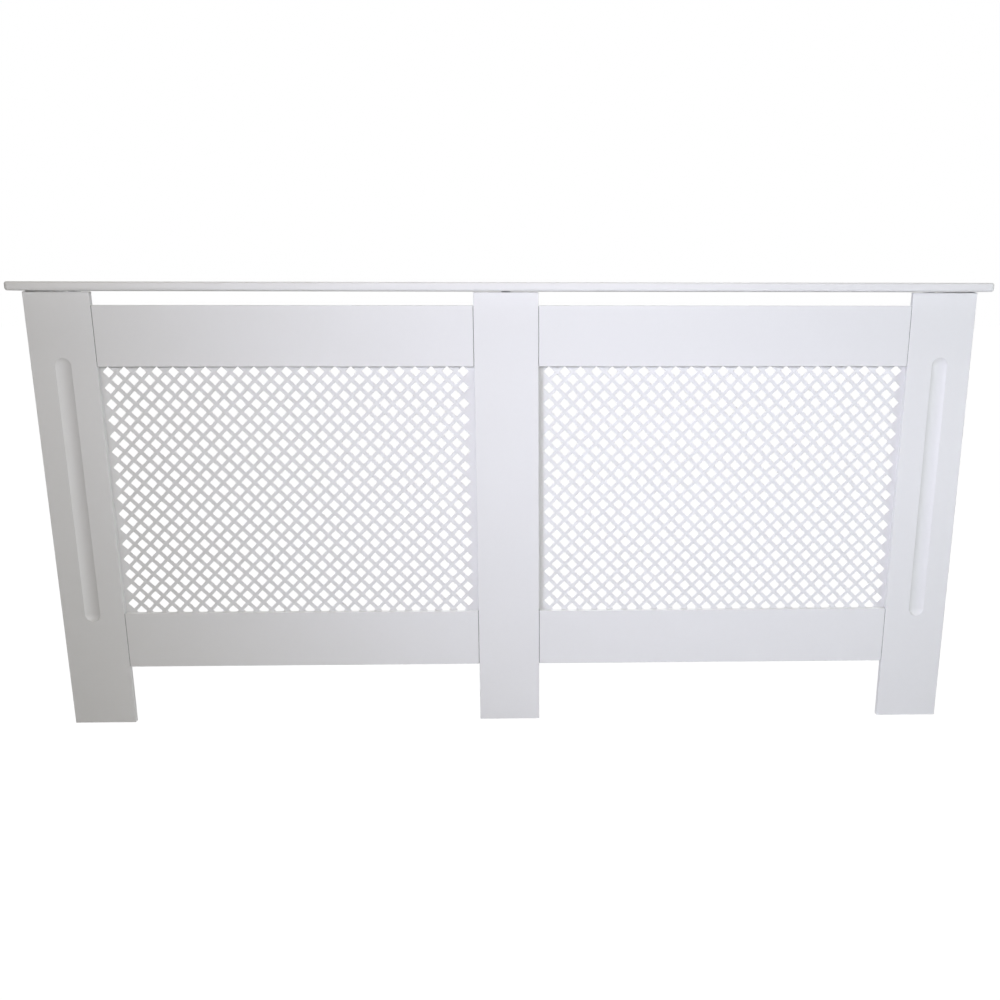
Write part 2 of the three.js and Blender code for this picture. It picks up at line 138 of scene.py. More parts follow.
def lightStudio(look):
    world = bpy.data.worlds.new("studioSurround")
    world.use_nodes = True
    scene.world = world
    nodes, links = world.node_tree.nodes, world.node_tree.links
    nodes.clear()
    seen = nodes.new("ShaderNodeBackground")
    seen.inputs["Color"].default_value = (*look["surround"], 1)
    seen.inputs["Strength"].default_value = look["surroundStrength"]
    ambient = nodes.new("ShaderNodeBackground")
    ambient.inputs["Color"].default_value = (*look["ambient"], 1)
    ambient.inputs["Strength"].default_value = look["ambientStrength"]
    path = nodes.new("ShaderNodeLightPath")
    mix = nodes.new("ShaderNodeMixShader")
    out = nodes.new("ShaderNodeOutputWorld")
    links.new(path.outputs["Is Camera Ray"], mix.inputs["Fac"])
    links.new(ambient.outputs["Background"], mix.inputs[1])
    links.new(seen.outputs["Background"], mix.inputs[2])
    links.new(mix.outputs["Shader"], out.inputs["Surface"])
    for name, light in studioLights.items():
        bpy.ops.object.light_add(type="AREA", location=light["place"])
        lamp = bpy.context.object
        lamp.name = name
        toTarget = Vector(light["target"]) - Vector(light["place"])
        lamp.rotation_euler = toTarget.to_track_quat("-Z", "Y").to_euler()
        lamp.data.shape = "RECTANGLE"
        lamp.data.size, lamp.data.size_y = light["size"]
        lamp.data.spread = math.radians(light["spread"])
        lamp.data.energy = light["power"]
        lamp.data.color = light["tint"]


def newMaterial(name):
    material = bpy.data.materials.new(name)
    material.use_nodes = True
    return material, material.node_tree.nodes, material.node_tree.links


def layFloor(look):
    bpy.ops.mesh.primitive_plane_add(size=look["floorSide"], location=(0, 0, 0))
    floor = bpy.context.object
    floor.name = "studioFloor"
    material, nodes, links = newMaterial("paleFloor")
    paint = nodes["Principled BSDF"]
    paint.inputs["Base Color"].default_value = (look["floorTone"],) * 3 + (1,)
    paint.inputs["Roughness"].default_value = look["floorRoughness"]
    glow = nodes.new("ShaderNodeEmission")
    glow.inputs["Strength"].default_value = look["floorGlow"]
    path = nodes.new("ShaderNodeLightPath")
    share = nodes.new("ShaderNodeMath")
    share.operation = "MULTIPLY"
    share.inputs[1].default_value = look["floorGlowShare"]
    mix = nodes.new("ShaderNodeMixShader")
    links.new(path.outputs["Is Camera Ray"], share.inputs[0])
    links.new(share.outputs["Value"], mix.inputs["Fac"])
    links.new(paint.outputs["BSDF"], mix.inputs[1])
    links.new(glow.outputs["Emission"], mix.inputs[2])
    links.new(mix.outputs["Shader"], nodes["Material Output"].inputs["Surface"])
    floor.data.materials.append(material)


lightStudio(studio)
layFloor(studio)
print("camera, lights and floor set")


# Node groups that the finishes share


def newGroup(name, inputs, outputs):
    group = bpy.data.node_groups.new(name, "ShaderNodeTree")
    for label, kind, start in inputs:
        socket = group.interface.new_socket(name=label, in_out="INPUT", socket_type=kind)
        socket.default_value = start
    for label, kind in outputs:
        group.interface.new_socket(name=label, in_out="OUTPUT", socket_type=kind)
    return group, group.nodes.new("NodeGroupInput"), group.nodes.new("NodeGroupOutput")


def addNoise(group, where, scale, detail):
    noise = group.nodes.new("ShaderNodeTexNoise")
    noise.inputs["Detail"].default_value = detail
    group.links.new(where, noise.inputs["Vector"])
    group.links.new(scale, noise.inputs["Scale"])
    return noise.outputs["Fac"]


def addMath(group, operation, first, second):
    node = group.nodes.new("ShaderNodeMath")
    node.operation = operation
    for socket, value in zip(node.inputs, (first, second)):
        if isinstance(value, (int, float)):
            socket.default_value = value
        else:
            group.links.new(value, socket)
    return node.outputs["Value"]


def addMix(group, share, first, second):
    node = group.nodes.new("ShaderNodeMix")
    node.data_type = "RGBA"
    group.links.new(share, node.inputs["Factor"])
    group.links.new(first, node.inputs["A"])
    group.links.new(second, node.inputs["B"])
    return node.outputs["Result"]


def addBlend(group, first, firstShare, second, secondShare):
    firstPart = addMath(group, "MULTIPLY", first, firstShare)
    secondPart = addMath(group, "MULTIPLY", second, secondShare)
    return addMath(group, "ADD", firstPart, secondPart)


noiseMiddle = 0.5


# The roughness that was asked for, made uneven to both sides by a noise.
def varyRoughness(group, roughness, noise, spread):
    offset = addMath(group, "SUBTRACT", noise, noiseMiddle)
    return addMath(group, "ADD", roughness, addMath(group, "MULTIPLY", offset, spread))


coatBlend = {
    "cloudDetail": 3,
    "mottleDetail": 2,
    "stippleDetail": 1,
    "cloudShare": 0.6,
    "mottleShare": 0.4,
    "roughSpread": 0.12,
    "stippleHeight": 0.7,
    "mottleHeight": 0.3,
}


# A sprayed coat: broad clouds of thinner paint, a fine mottle, and a stipple that the light picks up.
def buildCoatGroup():
    group, start, end = newGroup(
        "sprayedCoat",
        [
            ("Place", "NodeSocketVector", (0, 0, 0)),
            ("Paint", "NodeSocketColor", (0.8, 0.8, 0.8, 1)),
            ("Thin Paint", "NodeSocketColor", (0.75, 0.75, 0.75, 1)),
            ("Cloud Scale", "NodeSocketFloat", 7.0),
            ("Mottle Scale", "NodeSocketFloat", 120.0),
            ("Stipple Scale", "NodeSocketFloat", 900.0),
            ("Roughness", "NodeSocketFloat", 0.45),
        ],
        [("Colour", "NodeSocketColor"), ("Roughness", "NodeSocketFloat"), ("Height", "NodeSocketFloat")],
    )
    place = start.outputs["Place"]
    clouds = addNoise(group, place, start.outputs["Cloud Scale"], coatBlend["cloudDetail"])
    mottle = addNoise(group, place, start.outputs["Mottle Scale"], coatBlend["mottleDetail"])
    stipple = addNoise(group, place, start.outputs["Stipple Scale"], coatBlend["stippleDetail"])
    thin = addBlend(group, clouds, coatBlend["cloudShare"], mottle, coatBlend["mottleShare"])
    colour = addMix(group, thin, start.outputs["Paint"], start.outputs["Thin Paint"])
    rough = varyRoughness(group, start.outputs["Roughness"], mottle, coatBlend["roughSpread"])
    height = addBlend(group, stipple, coatBlend["stippleHeight"], mottle, coatBlend["mottleHeight"])
    group.links.new(colour, end.inputs["Colour"])
    group.links.new(rough, end.inputs["Roughness"])
    group.links.new(height, end.inputs["Height"])
    return group


arrisWearAndHighlight = {
    "bevelSamples": 4,
    "edgeGain": 6.0,  # how soon a turned normal counts as fully worn and lightened
    "patchDetail": 4,
}


# Rubbed arrises with a painted highlight: one where a rounded normal leaves the face, broken up by noise.
# The mask lightens the paint along every edge, as if light caught it there.
def buildArrisHighlightGroup():
    group, start, end = newGroup(
        "rubbedAndHighlightedArris",
        [
            ("Place", "NodeSocketVector", (0, 0, 0)),
            ("Width", "NodeSocketFloat", 0.0015),
            ("Patch Scale", "NodeSocketFloat", 40.0),
            ("Amount", "NodeSocketFloat", 0.5),
        ],
        [("Mask", "NodeSocketFloat")],
    )
    rounded = group.nodes.new("ShaderNodeBevel")
    rounded.samples = arrisWearAndHighlight["bevelSamples"]
    group.links.new(start.outputs["Width"], rounded.inputs["Radius"])
    face = group.nodes.new("ShaderNodeNewGeometry")
    compare = group.nodes.new("ShaderNodeVectorMath")
    compare.operation = "DOT_PRODUCT"
    group.links.new(rounded.outputs["Normal"], compare.inputs[0])
    group.links.new(face.outputs["Normal"], compare.inputs[1])
    bend = addMath(group, "SUBTRACT", 1.0, compare.outputs["Value"])
    edge = addMath(group, "MINIMUM", addMath(group, "MULTIPLY", bend, arrisWearAndHighlight["edgeGain"]), 1.0)
    patches = addNoise(group, start.outputs["Place"], start.outputs["Patch Scale"], arrisWearAndHighlight["patchDetail"])
    broken = addMath(group, "MULTIPLY", edge, patches)
    group.links.new(addMath(group, "MULTIPLY", broken, start.outputs["Amount"]), end.inputs["Mask"])
    return group


metalBlend = {
    "cloudDetail": 4,
    "gritDetail": 3,
    "roughSpread": 0.25,
}


# Plated or cast metal: cloudy zinc with a fine grit. The dark beads of painted shade in the joints use it
# too, in dark tones.
def buildMetalGroup():
    group, start, end = newGroup(
        "zincSkin",
        [
            ("Place", "NodeSocketVector", (0, 0, 0)),
            ("Bright", "NodeSocketColor", (0.6, 0.6, 0.62, 1)),
            ("Dull", "NodeSocketColor", (0.4, 0.4, 0.42, 1)),
            ("Cloud Scale", "NodeSocketFloat", 300.0),
            ("Grit Scale", "NodeSocketFloat", 2500.0),
            ("Roughness", "NodeSocketFloat", 0.35),
        ],
        [("Colour", "NodeSocketColor"), ("Roughness", "NodeSocketFloat"), ("Height", "NodeSocketFloat")],
    )
    place = start.outputs["Place"]
    clouds = addNoise(group, place, start.outputs["Cloud Scale"], metalBlend["cloudDetail"])
    grit = addNoise(group, place, start.outputs["Grit Scale"], metalBlend["gritDetail"])
    colour = addMix(group, clouds, start.outputs["Bright"], start.outputs["Dull"])
    rough = varyRoughness(group, start.outputs["Roughness"], grit, metalBlend["roughSpread"])
    group.links.new(colour, end.inputs["Colour"])
    group.links.new(rough, end.inputs["Roughness"])
    group.links.new(grit, end.inputs["Height"])
    return group


coatGroup = buildCoatGroup()
arrisHighlightGroup = buildArrisHighlightGroup()
metalGroup = buildMetalGroup()


def useGroup(nodes, links, group, place, values):
    node = nodes.new("ShaderNodeGroup")
    node.node_tree = group
    links.new(place, node.inputs["Place"])
    for label, value in values.items():
        node.inputs[label].default_value = value
    return node


def addBump(nodes, links, height, strength, distance, shader):
    bump = nodes.new("ShaderNodeBump")
    bump.inputs["Strength"].default_value = strength
    bump.inputs["Distance"].default_value = distance
    links.new(height, bump.inputs["Height"])
    links.new(bump.outputs["Normal"], shader.inputs["Normal"])


paintFinish = {
    "board": {
        "Paint": (0.80, 0.804, 0.804, 1),
        "Thin Paint": (0.77, 0.773, 0.767, 1),
        "Cloud Scale": 6.0,
        "Mottle Scale": 140.0,
        "Stipple Scale": 900.0,
        "Roughness": 0.42,
    },
    "sheet": {
        "Paint": (0.80, 0.805, 0.80, 1),
        "Thin Paint": (0.765, 0.765, 0.77, 1),
        "Cloud Scale": 11.0,
        "Mottle Scale": 260.0,
        "Stipple Scale": 1400.0,
        "Roughness": 0.55,
    },
    # a lighter tone for the arrises: painted highlight along the edges, as well as rubbing
    "rubbedHighlight": (0.86, 0.86, 0.865, 1),
    "wearAndHighlight": {"Width": 0.0015, "Patch Scale": 35.0, "Amount": 0.6},
    "boardStipple": 0.35,
    "sheetStipple": 0.4,
    "stippleDepth": 0.0001,
    "refraction": 1.48,
}


def paintedBoard(name, finish, stipple):
    material, nodes, links = newMaterial(name)
    shader = nodes["Principled BSDF"]
    place = nodes.new("ShaderNodeTexCoord").outputs["Object"]
    coat = useGroup(nodes, links, coatGroup, place, finish)
    wearAndHighlight = useGroup(nodes, links, arrisHighlightGroup, place, paintFinish["wearAndHighlight"])
    # the arris mask mixes in the lighter tone, which is a painted highlight along every edge
    mix = nodes.new("ShaderNodeMix")
    mix.data_type = "RGBA"
    mix.inputs["B"].default_value = paintFinish["rubbedHighlight"]
    links.new(wearAndHighlight.outputs["Mask"], mix.inputs["Factor"])
    links.new(coat.outputs["Colour"], mix.inputs["A"])
    links.new(mix.outputs["Result"], shader.inputs["Base Color"])
    links.new(coat.outputs["Roughness"], shader.inputs["Roughness"])
    shader.inputs["IOR"].default_value = paintFinish["refraction"]
    addBump(nodes, links, coat.outputs["Height"], stipple, paintFinish["stippleDepth"], shader)
    return material


metalFinish = {
    "zincSteel": {
        "Bright": (0.66, 0.67, 0.69, 1),
        "Dull": (0.48, 0.49, 0.50, 1),
        "Cloud Scale": 260.0,
        "Grit Scale": 2600.0,
        "Roughness": 0.34,
    },
    "castZinc": {
        "Bright": (0.50, 0.51, 0.52, 1),
        "Dull": (0.36, 0.37, 0.38, 1),
        "Cloud Scale": 400.0,
        "Grit Scale": 1800.0,
        "Roughness": 0.46,
    },
}
metalRelief = {"strength": 0.35, "depth": 0.00006}


def zincMetal(name):
    material, nodes, links = newMaterial(name)
    shader = nodes["Principled BSDF"]
    place = nodes.new("ShaderNodeTexCoord").outputs["Object"]
    skin = useGroup(nodes, links, metalGroup, place, metalFinish[name])
    links.new(skin.outputs["Colour"], shader.inputs["Base Color"])
    links.new(skin.outputs["Roughness"], shader.inputs["Roughness"])
    shader.inputs["Metallic"].default_value = 1.0
    addBump(nodes, links, skin.outputs["Height"], metalRelief["strength"], metalRelief["depth"], shader)
    return material


# near-black tones for the beads of painted shade in the joint gaps
jointShadeTones = {
    "Bright": (0.085, 0.080, 0.074, 1),
    "Dull": (0.045, 0.043, 0.041, 1),
    "Cloud Scale": 180.0,
    "Grit Scale": 900.0,
    "Roughness": 0.5,
}
jointShadeRelief = {"strength": 0.3, "depth": 0.0001}


def makeJointShade(name):
    material, nodes, links = newMaterial(name)
    shader = nodes["Principled BSDF"]
    place = nodes.new("ShaderNodeTexCoord").outputs["Object"]
    skin = useGroup(nodes, links, metalGroup, place, jointShadeTones)
    links.new(skin.outputs["Colour"], shader.inputs["Base Color"])
    links.new(skin.outputs["Roughness"], shader.inputs["Roughness"])
    addBump(nodes, links, skin.outputs["Height"], jointShadeRelief["strength"], jointShadeRelief["depth"], shader)
    return material


beechTones = {
    "pale": (0.64, 0.43, 0.24, 1),
    "deep": (0.46, 0.27, 0.13, 1),
    "fleck": (0.30, 0.16, 0.07, 1),
}
beechGrain = {
    "squeeze": 0.12,  # along the grain, which draws the streaks out
    "streakScale": 900,
    "streakDetail": 5,
    "fleckScale": 2600,
    "fleckDetail": 1,
    "fleckStart": 0.62,
    "fleckFull": 0.70,
    "roughness": 0.6,
    "reliefStrength": 0.3,
    "reliefDepth": 0.0001,
}


# Turned beech: streaks along the dowel and short dark flecks. turn lays the grain along the piece.
def beechWood(name, turn):
    material, nodes, links = newMaterial(name)
    shader = nodes["Principled BSDF"]
    coordinates = nodes.new("ShaderNodeTexCoord")
    lay = nodes.new("ShaderNodeMapping")
    lay.inputs["Rotation"].default_value = turn
    lay.inputs["Scale"].default_value = (beechGrain["squeeze"], 1, 1)
    links.new(coordinates.outputs["Object"], lay.inputs["Vector"])
    streaks = nodes.new("ShaderNodeTexNoise")
    streaks.inputs["Scale"].default_value = beechGrain["streakScale"]
    streaks.inputs["Detail"].default_value = beechGrain["streakDetail"]
    flecks = nodes.new("ShaderNodeTexNoise")
    flecks.inputs["Scale"].default_value = beechGrain["fleckScale"]
    flecks.inputs["Detail"].default_value = beechGrain["fleckDetail"]
    links.new(lay.outputs["Vector"], streaks.inputs["Vector"])
    links.new(lay.outputs["Vector"], flecks.inputs["Vector"])
    tones = nodes.new("ShaderNodeValToRGB")
    tones.color_ramp.elements[0].color = beechTones["deep"]
    tones.color_ramp.elements[1].color = beechTones["pale"]
    links.new(streaks.outputs["Fac"], tones.inputs["Fac"])
    spots = nodes.new("ShaderNodeValToRGB")
    spots.color_ramp.elements[0].position = beechGrain["fleckStart"]
    spots.color_ramp.elements[1].position = beechGrain["fleckFull"]
    links.new(flecks.outputs["Fac"], spots.inputs["Fac"])
    mix = nodes.new("ShaderNodeMix")
    mix.data_type = "RGBA"
    mix.inputs["B"].default_value = beechTones["fleck"]
    links.new(spots.outputs["Color"], mix.inputs["Factor"])
    links.new(tones.outputs["Color"], mix.inputs["A"])
    links.new(mix.outputs["Result"], shader.inputs["Base Color"])
    shader.inputs["Roughness"].default_value = beechGrain["roughness"]
    strength, depth = beechGrain["reliefStrength"], beechGrain["reliefDepth"]
    addBump(nodes, links, streaks.outputs["Fac"], strength, depth, shader)
    return material


whitePaint = paintedBoard("whitePaint", paintFinish["board"], paintFinish["boardStipple"])
whiteSheet = paintedBoard("whiteSheet", paintFinish["sheet"], paintFinish["sheetStipple"])
zincSteel = zincMetal("zincSteel")
castZinc = zincMetal("castZinc")
# the dark material of the joint beads, which is painted shade
jointShadeMaterial = makeJointShade("jointShadeMaterial")
beechAlongX = beechWood("beechAlongX", (0, 0, 0))
beechAlongY = beechWood("beechAlongY", (0, 0, math.pi / 2))
beechAlongZ = beechWood("beechAlongZ", (0, math.pi / 2, 0))
print("finishes mixed")


# Bench work: how a piece is started, marked out, cut and finished


def clearBench():
    if bpy.context.object and bpy.context.object.mode != "OBJECT":
        bpy.ops.object.mode_set(mode="OBJECT")
    bpy.ops.object.select_all(action="DESELECT")


def takeUp(piece):
    clearBench()
    piece.select_set(True)
    bpy.context.view_layer.objects.active = piece


def nameIt(piece, name):
    piece.name = name
    piece.data.name = name


def fixPlace(piece):
    takeUp(piece)
    bpy.ops.object.transform_apply(location=True, rotation=True, scale=True)


# A sawn block between two corners.
def sawBlock(name, low, high):
    clearBench()
    size = [b - a for a, b in zip(low, high)]
    middle = [(a + b) / 2 for a, b in zip(low, high)]
    bpy.ops.mesh.primitive_cube_add(size=1, location=middle, scale=size)
    block = bpy.context.object
    nameIt(block, name)
    fixPlace(block)
    return block


def turnRod(name, radius, low, high, sides):
    clearBench()
    middle = (Vector(low) + Vector(high)) / 2
    along = Vector(high) - Vector(low)
    bpy.ops.mesh.primitive_cylinder_add(vertices=sides, radius=radius, depth=along.length, location=middle)
    rod = bpy.context.object
    rod.rotation_euler = along.to_track_quat("Z", "Y").to_euler()
    nameIt(rod, name)
    fixPlace(rod)
    return rod


def markEdges(piece, wanted):
    takeUp(piece)
    bpy.ops.object.mode_set(mode="EDIT")
    bpy.ops.mesh.select_mode(type="EDGE")
    bpy.ops.mesh.select_all(action="DESELECT")
    mesh = bmesh.from_edit_mesh(piece.data)
    for edge in mesh.edges:
        if wanted(edge.verts[0].co, edge.verts[1].co):
            edge.select_set(True)
    bmesh.update_edit_mesh(piece.data)


def markFaces(piece, wanted):
    takeUp(piece)
    bpy.ops.object.mode_set(mode="EDIT")
    bpy.ops.mesh.select_mode(type="FACE")
    bpy.ops.mesh.select_all(action="DESELECT")
    mesh = bmesh.from_edit_mesh(piece.data)
    for face in mesh.faces:
        if wanted(face.calc_center_median(), face.normal):
            face.select_set(True)
    bmesh.update_edit_mesh(piece.data)


facing = 0.9  # a face looks along an axis when its normal has more than this along it


def near(a, b, slack=0.00005):
    return abs(a - b) < slack


def roundEdges(piece, radius, steps, wanted):
    markEdges(piece, wanted)
    bpy.ops.mesh.bevel(offset=radius, segments=steps, affect="EDGES")
    clearBench()


def pushOut(way):
    bpy.ops.mesh.extrude_region_move(TRANSFORM_OT_translate={"value": way})


# Breaks every sharp arris that is left.
def easeArrises(piece, width, steps, angle=50):
    takeUp(piece)
    ease = piece.modifiers.new("ease", "BEVEL")
    ease.width = width
    ease.segments = steps
    ease.limit_method = "ANGLE"
    ease.angle_limit = math.radians(angle)
    ease.use_clamp_overlap = False
    bpy.ops.object.modifier_apply(modifier=ease.name)


def cutAway(piece, cutter):
    takeUp(piece)
    cut = piece.modifiers.new("cut", "BOOLEAN")
    cut.operation = "DIFFERENCE"
    cut.solver = "EXACT"
    cut.object = cutter
    bpy.ops.object.modifier_apply(modifier=cut.name)
    bpy.data.objects.remove(cutter)


def smoothOver(piece, angle=40):
    takeUp(piece)
    bpy.ops.object.shade_smooth_by_angle(angle=math.radians(angle))
    weigh = piece.modifiers.new("weigh", "WEIGHTED_NORMAL")
    weigh.keep_sharp = True
    weigh.weight = 100
    bpy.ops.object.modifier_apply(modifier=weigh.name)


def fitTo(piece, finish, slot, *nodes):
    piece.data.materials.clear()
    piece.data.materials.append(finish)
    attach(piece, "root")
    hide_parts(*nodes)


# Boards of the front frame

frameBoards = {
    "ease": 0.001,
    "easeSteps": 4,
    "fluteWidth": 0.028,
    "fluteDepth": 0.0055,
    "fluteFromEdge": 0.056,  # its centre line, from the stile's outer edge
    "fluteOverrun": 0.015,  # past the lattice opening, above and below
    "fluteSides": 128,
    "fluteArris": 0.0006,
    "fluteArrisSteps": 2,
    "mouthMargin": 0.002,  # how far round the mouth its edges are looked for, across
    "endMargin": 0.02,  # and past the lattice opening
}

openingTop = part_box("top_rail_left")[0].z
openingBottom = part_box("bottom_rail_left")[1].z


def makeRail(node):
    low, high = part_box(node)
    rail = sawBlock(node + "_board", low, high)
    easeArrises(rail, frameBoards["ease"], frameBoards["easeSteps"])
    smoothOver(rail)
    fitTo(rail, whitePaint, "white_board", node)


# A round-nosed cutter run down the face: a ball, drawn out to the flute's length.
def routFlute(stile, centre, frontPlane):
    width, depth = frameBoards["fluteWidth"], frameBoards["fluteDepth"]
    radius = width**2 / (8 * depth) + depth / 2
    lowEnd = openingBottom - frameBoards["fluteOverrun"] + width / 2
    run = openingTop - openingBottom + 2 * frameBoards["fluteOverrun"] - width
    sides = frameBoards["fluteSides"]
    ballPlace = (centre, frontPlane - radius + depth, lowEnd)
    clearBench()
    bpy.ops.mesh.primitive_uv_sphere_add(
        segments=sides, ring_count=sides // 2, radius=radius, location=ballPlace
    )
    cutter = bpy.context.object
    fixPlace(cutter)
    markFaces(cutter, lambda middle, normal: middle.z > lowEnd)
    pushOut((0, 0, run))
    clearBench()
    cutAway(stile, cutter)
    reach = width / 2 + frameBoards["mouthMargin"]
    lowest = openingBottom - frameBoards["endMargin"]
    highest = openingTop + frameBoards["endMargin"]

    def onMouth(a, b):
        if not (near(a.y, frontPlane) and near(b.y, frontPlane)):
            return False
        inWidth = all(centre - reach < end.x < centre + reach for end in (a, b))
        inHeight = all(lowest < end.z < highest for end in (a, b))
        return inWidth and inHeight

    roundEdges(stile, frameBoards["fluteArris"], frameBoards["fluteArrisSteps"], onMouth)


def makeStile(node, outerSide):
    low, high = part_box(node)
    stile = sawBlock(node + "_board", low, high)
    easeArrises(stile, frameBoards["ease"], frameBoards["easeSteps"])
    if outerSide:
        outerEdge = low.x if outerSide < 0 else high.x
        routFlute(stile, outerEdge - outerSide * frameBoards["fluteFromEdge"], low.y)
    smoothOver(stile)
    fitTo(stile, whitePaint, "white_board", node)


# A dark bead set into each butt joint as painted shade for the crevice. It stands back from the face, so
# each joint reads as a fine dark line.
jointShadeBead = {
    "behindFace": 0.0014,
    "beforeBack": 0.0010,
    "fromEnds": 0.0008,
    "hollow": 0.0002,
    "hollowDepth": 0.0005,
}


def shadeJoint(rail, stile):
    low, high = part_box(rail)
    stileLow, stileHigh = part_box(stile)
    left, right = (high.x, stileLow.x) if stileLow.x > high.x else (stileHigh.x, low.x)
    bead = sawBlock(
        f"joint_shade_{rail}_{stile}",
        (left, low.y + jointShadeBead["behindFace"], low.z + jointShadeBead["fromEnds"]),
        (right, high.y - jointShadeBead["beforeBack"], high.z - jointShadeBead["fromEnds"]),
    )
    markFaces(bead, lambda centre, normal: normal.y < -facing)
    bpy.ops.mesh.inset(thickness=jointShadeBead["hollow"], depth=-jointShadeBead["hollowDepth"])
    clearBench()
    bead.data.materials.append(jointShadeMaterial)
    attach(bead, "root")


for row in ("top", "bottom"):
    for side in ("left", "right"):
        makeRail(f"{row}_rail_{side}")
makeStile("stile_left", -1)
makeStile("stile_centre", 0)
makeStile("stile_right", 1)
for row in ("top", "bottom"):
    for side in ("left", "right"):
        shadeJoint(f"{row}_rail_{side}", f"stile_{side}")
        shadeJoint(f"{row}_rail_{side}", "stile_centre")
print("front frame made")

# Shelf

shelfBoard = {
    "cornerRadius": 0.008,
    "roundover": 0.0045,
    "cornerSteps": 8,
    "roundoverSteps": 6,
}


def makeShelf():
    low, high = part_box("shelf")
    shelf = sawBlock("shelf_board", low, high)
    roundEdges(
        shelf,
        shelfBoard["cornerRadius"],
        shelfBoard["cornerSteps"],
        lambda a, b: near(a.y, low.y) and near(b.y, low.y) and near(a.x, b.x),
    )
    # the wall edge stays sawn square
    roundEdges(
        shelf,
        shelfBoard["roundover"],
        shelfBoard["roundoverSteps"],
        lambda a, b: near(a.z, b.z) and not (near(a.y, high.y) and near(b.y, high.y)),
    )
    smoothOver(shelf)
    fitTo(shelf, whitePaint, "white_board", "shelf")


makeShelf()
print("shelf made")

# End panels

endPanel = {
    "ease": 0.001,
    "easeSteps": 4,
    "notchDepth": 0.020,
    "notchHeight": 0.120,
    "notchRadius": 0.008,
    "notchSteps": 10,
    "camBore": 0.00615,
    "camBoreDepth": 0.0098,
    "boreSides": 48,
    "cutterOverrun": 0.01,
}


def makeEndPanel(side, inward):
    node = f"end_panel_{side}"
    low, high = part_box(node)
    panel = sawBlock(node + "_board", low, high)
    over = endPanel["cutterOverrun"]
    notchFront = high.y - endPanel["notchDepth"]
    notchTop = endPanel["notchHeight"]
    wasteLow = (low.x - over, notchFront, low.z - over)
    waste = sawBlock("waste", wasteLow, (high.x + over, high.y + over, notchTop))
    roundEdges(
        waste,
        endPanel["notchRadius"],
        endPanel["notchSteps"],
        lambda a, b: all(near(end.y, notchFront) and near(end.z, notchTop) for end in (a, b)),
    )
    cutAway(panel, waste)
    easeArrises(panel, endPanel["ease"], endPanel["easeSteps"])
    face = high.x if inward > 0 else low.x
    for cam in (f"cam_{side}_lower", f"cam_{side}_upper", f"shelf_cam_{side}"):
        camLow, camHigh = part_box(cam)
        y, z = (camLow.y + camHigh.y) / 2, (camLow.z + camHigh.z) / 2
        depth = inward * endPanel["camBoreDepth"]
        start, end = (face + inward * over, y, z), (face - depth, y, z)
        drill = turnRod("drill", endPanel["camBore"], start, end, endPanel["boreSides"])
        cutAway(panel, drill)
    smoothOver(panel)
    fitTo(panel, whitePaint, "white_board", node)


makeEndPanel("left", 1)
makeEndPanel("right", -1)
print("end panels made")

# Lattice sheets

lattice = {
    "halfColumn": 0.01434,  # from one half column to the next
    "halfRow": 0.01422,
    "rows": 32,
    "wideRow": 23,
    "weld": 0.00002,
    "arris": 0.0003,
    "arrisSteps": 1,
    "arrisAngle": 80,  # degrees
    "straight": 0.0003,  # depth of the clean cut, before the hole flares to the back
    "flare": 0.0014,
    # tilt is in degrees, and the rising bars are those that rise to the right
    "left": {"firstHole": (-0.7086, 0.6613), "tilt": 0.10, "risingBar": 0.0062, "fallingBar": 0.0073},
    "right": {"firstHole": (0.0763, 0.6613), "tilt": 0.15, "risingBar": 0.0058, "fallingBar": 0.0070},
}


def repeatPiece(piece, count, step):
    takeUp(piece)
    array = piece.modifiers.new("repeat", "ARRAY")
    array.count = count
    array.use_relative_offset = False
    array.use_constant_offset = True
    array.constant_offset_displace = step
    bpy.ops.object.modifier_apply(modifier=array.name)


# One diamond with half a bar round it. Its hole stays filled for now, in the second material slot.
def makeDiamond(risingBar, fallingBar):
    clearBench()
    bpy.ops.mesh.primitive_circle_add(vertices=4, radius=1, fill_type="NGON", rotation=(math.pi / 2, 0, 0))
    diamond = bpy.context.object
    diamond.scale = (lattice["halfColumn"], lattice["halfRow"], 1)
    fixPlace(diamond)
    diamond.data.materials.append(whiteSheet)
    diamond.data.materials.append(zincSteel)
    diamond.rotation_euler.y = math.pi / 4
    fixPlace(diamond)
    pitch = diamond.dimensions.x
    markFaces(diamond, lambda centre, normal: True)
    bpy.ops.mesh.inset(thickness=risingBar / 2)
    narrowed = (pitch - fallingBar) / (pitch - risingBar)
    bpy.ops.transform.resize(value=(narrowed, 1, 1), center_override=(0, 0, 0))
    diamond.active_material_index = 1
    bpy.ops.object.material_slot_assign()
    clearBench()
    diamond.rotation_euler.y = -math.pi / 4
    fixPlace(diamond)
    return diamond


# Rows of two lengths by turns, each half a diamond across from the last.
def makeField(pattern, plane):
    across, down = lattice["halfColumn"], lattice["halfRow"]
    wide = makeDiamond(pattern["risingBar"], pattern["fallingBar"])
    takeUp(wide)
    bpy.ops.object.duplicate()
    narrow = bpy.context.object
    narrow.location = (across, 0, -down)
    fixPlace(narrow)
    for row, count in ((wide, lattice["wideRow"]), (narrow, lattice["wideRow"] - 1)):
        repeatPiece(row, count, (2 * across, 0, 0))
        repeatPiece(row, lattice["rows"] // 2, (0, 0, -2 * down))
    takeUp(wide)
    narrow.select_set(True)
    bpy.ops.object.join()
    wide.location = (pattern["firstHole"][0], plane, pattern["firstHole"][1])
    wide.rotation_euler.y = -math.radians(pattern["tilt"])
    fixPlace(wide)
    return wide


